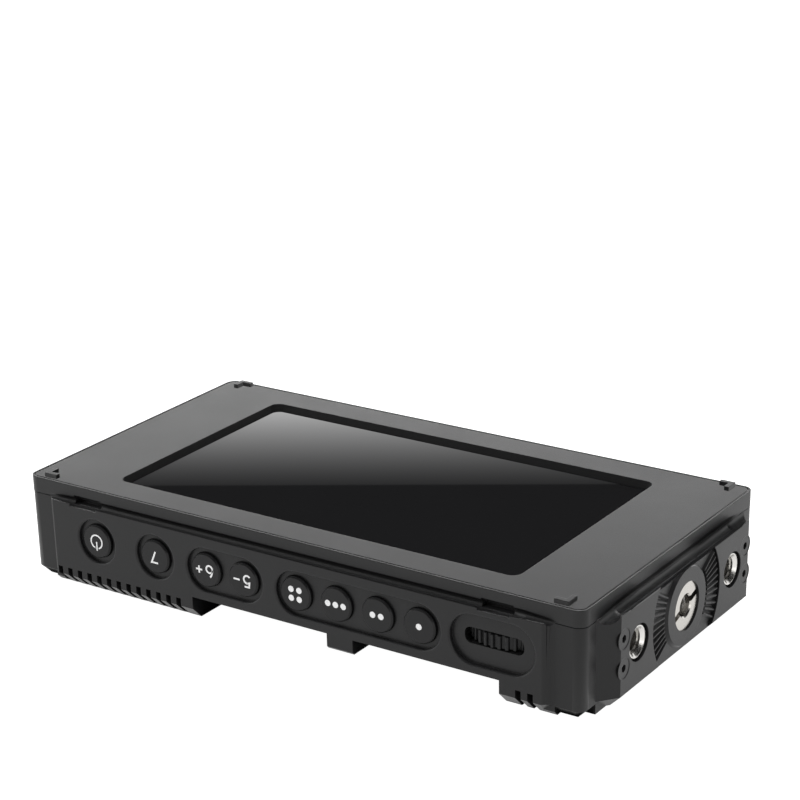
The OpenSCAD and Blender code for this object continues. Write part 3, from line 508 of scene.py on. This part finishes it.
PINS, PIN_STEP, PIN_HALF = 10, 1.0, 0.17
lo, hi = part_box("hdmi_tongue")
first_pin = SOCK_X - 4.5
boxes("socket_pins", [(first_pin + PIN_STEP * i - PIN_HALF, first_pin + PIN_STEP * i + PIN_HALF,
                       lo[1] / MM + 0.5, hi[1] / MM - 0.8, lo[2] / MM - 0.05, lo[2] / MM + 0.03)
                      for i in range(PINS)], 0.02, GOLD, "monitor")


# ---------------------------------------------------------------- floor and screens (metres)
def stage_mesh(name, verts, faces, mat):
    """Flat stage piece, which isn't part of the object."""
    me = bpy.data.meshes.new(name)
    me.from_pydata(verts, [], faces)
    me.materials.append(mat)
    o = new_object(name, me)
    return o


def stage_sheet(name, hx, hy, z, mat):
    """Level rectangle round the origin, by its half sizes."""
    return stage_mesh(name, [(-hx, -hy, z), (hx, -hy, z), (hx, hy, z), (-hx, hy, z)], [(0, 1, 2, 3)], mat)


def glow_mat(name, power, base=0.0, rough=None, spec=None):
    """Surface that gives off white light of that power, over a plain grey base."""
    m, _, b = node_mat(name)
    b.inputs["Base Color"].default_value = (base, base, base, 1)
    if rough is not None:
        b.inputs["Roughness"].default_value = rough
        b.inputs["Specular IOR Level"].default_value = spec
    b.inputs["Emission Color"].default_value = (1, 1, 1, 1)
    b.inputs["Emission Strength"].default_value = power
    return m


# The floor gives off its own light, so that no shadow shows on it, as in the photograph.
stage_sheet("floor", 12, 12, -2e-4, glow_mat("floor_white", 1.0, 0.25, 0.9, 0.0))

SCREEN_TOP, FADE_FROM = 0.818, 0.713    # the far screen fades out between these heights
FADE_DARK, FADE_BRIGHT, FADE_POWER = 0.15, 0.7373702, 2.2


def fade_mat(name, power):
    """Bright screen that fades to dark along its upper edge, as the reflection on the glass does."""
    m, nt, b = node_mat(name)
    nt.nodes.remove(b)
    new, link = nt.nodes.new, nt.links.new
    em = new("ShaderNodeEmission")
    tc = new("ShaderNodeTexCoord")
    sp = new("ShaderNodeSeparateXYZ")
    mr = new("ShaderNodeMapRange")
    mr.inputs["From Min"].default_value = 0.0
    mr.inputs["From Max"].default_value = FADE_FROM - SCREEN_TOP
    mr.inputs["To Min"].default_value = FADE_DARK
    mr.inputs["To Max"].default_value = FADE_BRIGHT
    pw = new("ShaderNodeMath")
    pw.operation = "POWER"
    pw.inputs[1].default_value = FADE_POWER
    ml = new("ShaderNodeMath")
    ml.operation = "MULTIPLY"
    ml.inputs[1].default_value = power
    link(tc.outputs["Object"], sp.inputs[0])
    link(sp.outputs[2], mr.inputs["Value"])
    link(mr.outputs[0], pw.inputs[0])
    link(pw.outputs[0], ml.inputs[0])
    link(ml.outputs[0], em.inputs["Strength"])
    link(em.outputs[0], nt.nodes["Material Output"].inputs[0])
    return m


def only_reflected(o):
    """The camera doesn't see o, and it neither lights nor shades: it shows in reflections alone."""
    o.visible_camera = False
    o.visible_diffuse = False
    o.visible_shadow = False


def screen(name, a0, a1, low, top, mat, n, tilt=0.0):
    """Upright screen round the object from angle a0 to a1, in n flat parts. Its top is its origin."""
    middle = math.radians((a0 + a1) / 2)
    verts = []
    for i in range(n + 1):
        a = math.radians(a0 + (a1 - a0) * i / n)
        x, y = SCREEN_R * math.cos(a), SCREEN_R * math.sin(a)
        verts += [(x, y, low - top), (x, y, 0)]
    o = stage_mesh(name, verts, [(2 * i, 2 * i + 2, 2 * i + 3, 2 * i + 1) for i in range(n)], mat)
    o.location = (0, 0, top)
    turn = Matrix.Rotation(math.radians(tilt), 3, Vector((math.cos(middle), math.sin(middle), 0)))
    o.rotation_euler = turn.to_euler()
    only_reflected(o)


FAR = math.degrees(math.atan2(-0.823, 0.568))   # middle of the far screen, which the glass mirrors
HALF = 38.66                                    # half the angle that it spans
TILT = -1.4                                     # levels the edge of its reflection
SCREEN_R = 2.0 / math.cos(math.radians(HALF))
screen("screen_fade", FAR - HALF, FAR + HALF, FADE_FROM, SCREEN_TOP, fade_mat("screen_fade", 5.6), 1, TILT)
screen("screen_far", FAR - HALF, FAR + HALF, 0.0, FADE_FROM, glow_mat("screen_far", 4.05), 1, TILT)
screen("screen_near", FAR + HALF, FAR + 360 - HALF, 0.0, SCREEN_TOP, glow_mat("screen_near", 2.4), 40)
DISC_N, DISC_R, DISC_Z = 48, 1.3, 1.9
only_reflected(stage_mesh("screen_above", [(*on_circle(DISC_R, i, DISC_N), DISC_Z) for i in range(DISC_N)],
                          [tuple(range(DISC_N))], glow_mat("screen_above", 0.5)))
# dark card under the object, so that the white floor doesn't light its bays from below
under = stage_sheet("card_under", cad_box[1][0] - 0.004, cad_box[1][1] - 0.003, -1e-4,
                    glow_mat("card_under", 0.0))
under.visible_camera = False
# the glass doesn't mirror the dark wall of the opening
NODES["front_bezel"].visible_glossy = False

# ---------------------------------------------------------------- light and camera (metres)
world = bpy.data.worlds.new("studio")
scene.world = world
world.use_nodes = True
world.node_tree.nodes["Background"].inputs[0].default_value = (1, 1, 1, 1)
world.node_tree.nodes["Background"].inputs[1].default_value = 0.35
world.cycles_visibility.glossy = False


def area(name, loc, size, energy, target, glossy):
    """Square light at loc that faces target; glossy says whether it shows in reflections."""
    light = bpy.data.lights.new(name, "AREA")
    light.shape = "RECTANGLE"
    light.size = size
    light.size_y = size
    light.energy = energy
    o = new_object(name, light)
    o.location = loc
    o.rotation_euler = (Vector(target) - Vector(loc)).to_track_quat("-Z", "Y").to_euler()
    o.visible_glossy = glossy
    o.visible_camera = False


MIDDLE = (0, 0, 0.02)
area("top", (0.0, 0.1, 1.6), 2.0, 62, (0, 0, 0), False)
area("key", (0.9, 1.6, 2.0), 1.2, 22, MIDDLE, False)
area("left", (1.3, 0.9, 0.7), 0.8, 5, MIDDLE, True)
area("back", (0.2, -1.4, 1.0), 0.8, 5, MIDDLE, False)

# place, turn, lens and shift fitted to the outline of the lower view in the photograph
cam = bpy.data.cameras.new("camera")
cam.sensor_width = 36
cam.lens = 102.744
cam.shift_x = 0.00137
cam.shift_y = 0.17179
cam.clip_start = 0.01
cam.clip_end = 100
camera = new_object("camera", cam)
camera.location = (-0.285058, 0.413454, 0.224686)
camera.rotation_euler = Euler([math.radians(a) for a in (66.97956, 1.248775, -146.276032)], "XYZ")
scene.camera = camera
scene.view_settings.view_transform = "Standard"
scene.view_settings.look = "None"

bpy.context.view_layer.update()
